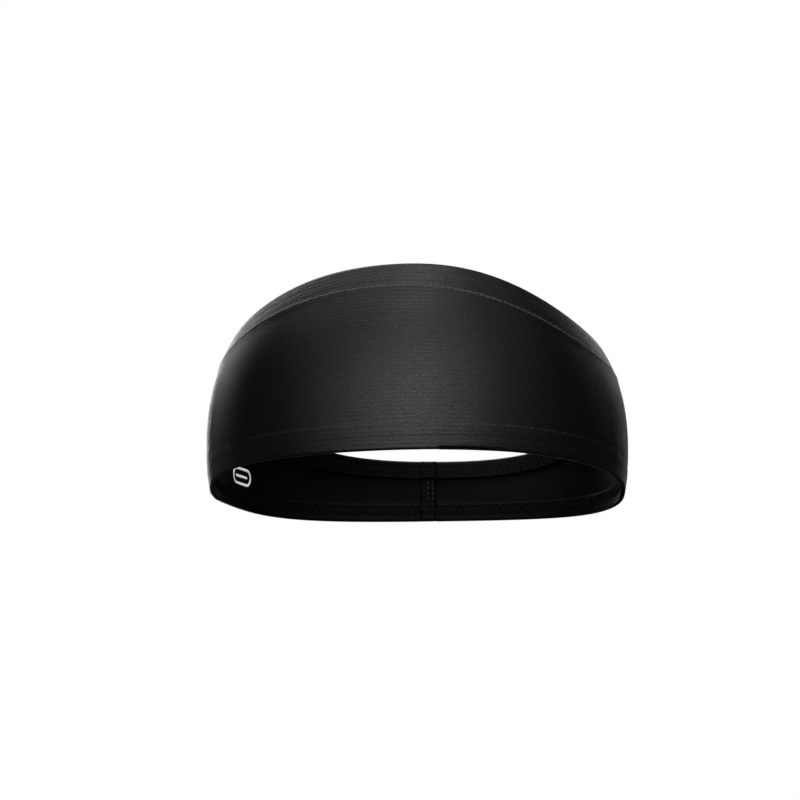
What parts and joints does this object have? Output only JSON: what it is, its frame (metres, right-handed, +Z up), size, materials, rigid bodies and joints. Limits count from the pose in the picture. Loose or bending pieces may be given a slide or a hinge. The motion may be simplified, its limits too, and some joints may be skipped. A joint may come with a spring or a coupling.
{
  "type": "sports headband",
  "caption": "Tapered stretch-knit sports headband, tall at the forehead and low at the nape, with turned and coverstitched hems, a back seam and a blank transfer mark inside.",
  "frame": {"origin": "centre of the band's outline, in the plane that the lower edge lies in", "axes": "+Z up from the lower edge, -Y towards the forehead, +Y towards the nape seam, +X towards the wearer's left"},
  "size_m": [0.1602, 0.1873, 0.0695],
  "materials": {
    "knit": "matte",
    "thread": "satin",
    "transfer_film": "satin"
  },
  "bodies": {
    "root": {"knit_band": "knit", "top_hem_edge_needle_thread": "thread", "top_hem_inner_needle_thread": "thread", "top_hem_looper_thread": "thread", "bottom_hem_edge_needle_thread": "thread", "bottom_hem_inner_needle_thread": "thread", "bottom_hem_looper_thread": "thread", "back_seam_first_needle_thread": "thread", "back_seam_second_needle_thread": "thread", "back_seam_upper_looper_thread": "thread", "back_seam_lower_looper_thread": "thread", "transfer_mark": "transfer_film"}
  },
  "joints": []
}
